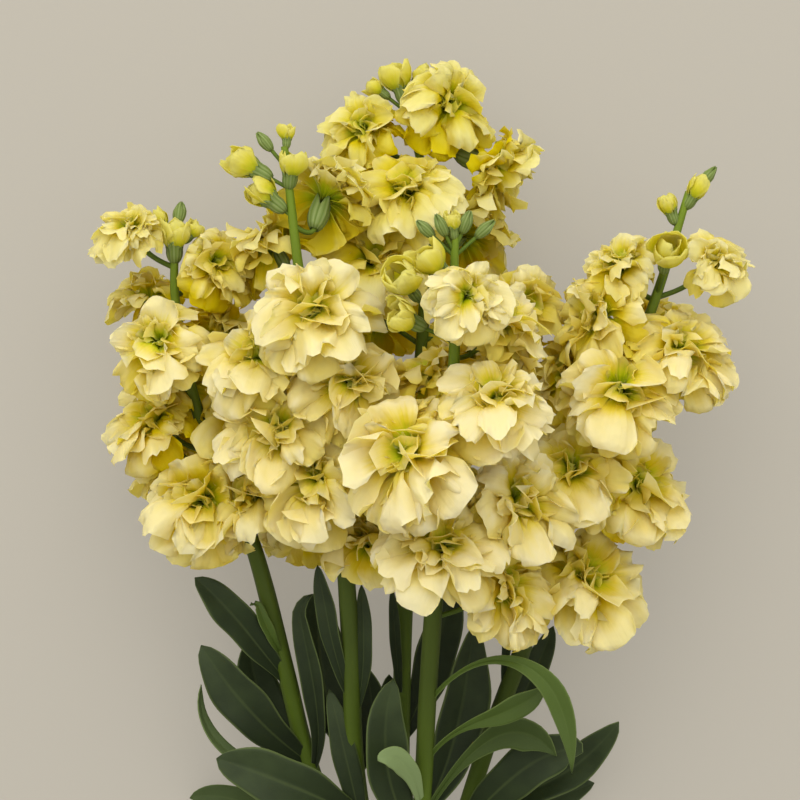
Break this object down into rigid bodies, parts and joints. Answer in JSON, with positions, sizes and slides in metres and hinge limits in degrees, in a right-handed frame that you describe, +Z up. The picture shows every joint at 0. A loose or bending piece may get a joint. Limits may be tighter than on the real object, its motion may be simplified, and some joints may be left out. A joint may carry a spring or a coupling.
{
  "type": "tied bunch of double stock flowers",
  "caption": "Tied bunch of cut stems of double stock, each with a dense head of ruffled pale yellow blooms over long soft leaves, laid down on a surface.",
  "frame": {"origin": "on the surface that the bunch lies on, under the middle of the tie that binds the stems", "axes": "+Z up from the surface; +Y along the bunch from the tie to the flower tips; +X across the bunch, to the right as seen from above with the tips away"},
  "size_m": [0.2399, 0.4808, 0.1396],
  "materials": {
    "petal": "soft matt petal, pale butter yellow, greener at the throat",
    "green_stem_and_leaf": "fresh green stem, and leaves with a fine grey felt",
    "tie": "rough natural twine"
  },
  "bodies": {
    "root": {"leafy_stem_left": "green_stem_and_leaf", "leafy_stem_mid_left": "green_stem_and_leaf", "leafy_stem_back": "green_stem_and_leaf", "leafy_stem_front": "green_stem_and_leaf", "leafy_stem_right": "green_stem_and_leaf", "bloom_left_01": "petal", "bloom_left_02": "petal", "bloom_left_03": "petal", "bloom_left_04": "petal", "bloom_left_05": "petal", "bloom_left_06": "petal", "bloom_left_07": "petal", "bloom_left_08": "petal", "bloom_left_09": "petal", "bloom_left_10": "petal", "bloom_mid_left_01": "petal", "bloom_mid_left_02": "petal", "bloom_mid_left_03": "petal", "bloom_mid_left_04": "petal", "bloom_mid_left_05": "petal", "bloom_mid_left_06": "petal", "bloom_mid_left_07": "petal", "bloom_mid_left_08": "petal", "bloom_mid_left_09": "petal", "bloom_mid_left_10": "petal", "bloom_mid_left_11": "petal", "bloom_back_01": "petal", "bloom_back_02": "petal", "bloom_back_03": "petal", "bloom_back_04": "petal", "bloom_back_05": "petal", "bloom_back_06": "petal", "bloom_back_07": "petal", "bloom_back_08": "petal", "bloom_back_09": "petal", "bloom_back_10": "petal", "bloom_back_11": "petal", "bloom_front_01": "petal", "bloom_front_02": "petal", "bloom_front_03": "petal", "bloom_front_04": "petal", "bloom_front_05": "petal", "bloom_front_06": "petal", "bloom_front_07": "petal", "bloom_front_08": "petal", "bloom_front_09": "petal", "bloom_front_10": "petal", "bloom_right_01": "petal", "bloom_right_02": "petal", "bloom_right_03": "petal", "bloom_right_04": "petal", "bloom_right_05": "petal", "bloom_right_06": "petal", "bloom_right_07": "petal", "bloom_right_08": "petal", "bloom_right_09": "petal", "bloom_right_10": "petal", "bloom_right_11": "petal", "bloom_right_12": "petal", "tie": "tie"}
  },
  "joints": []
}
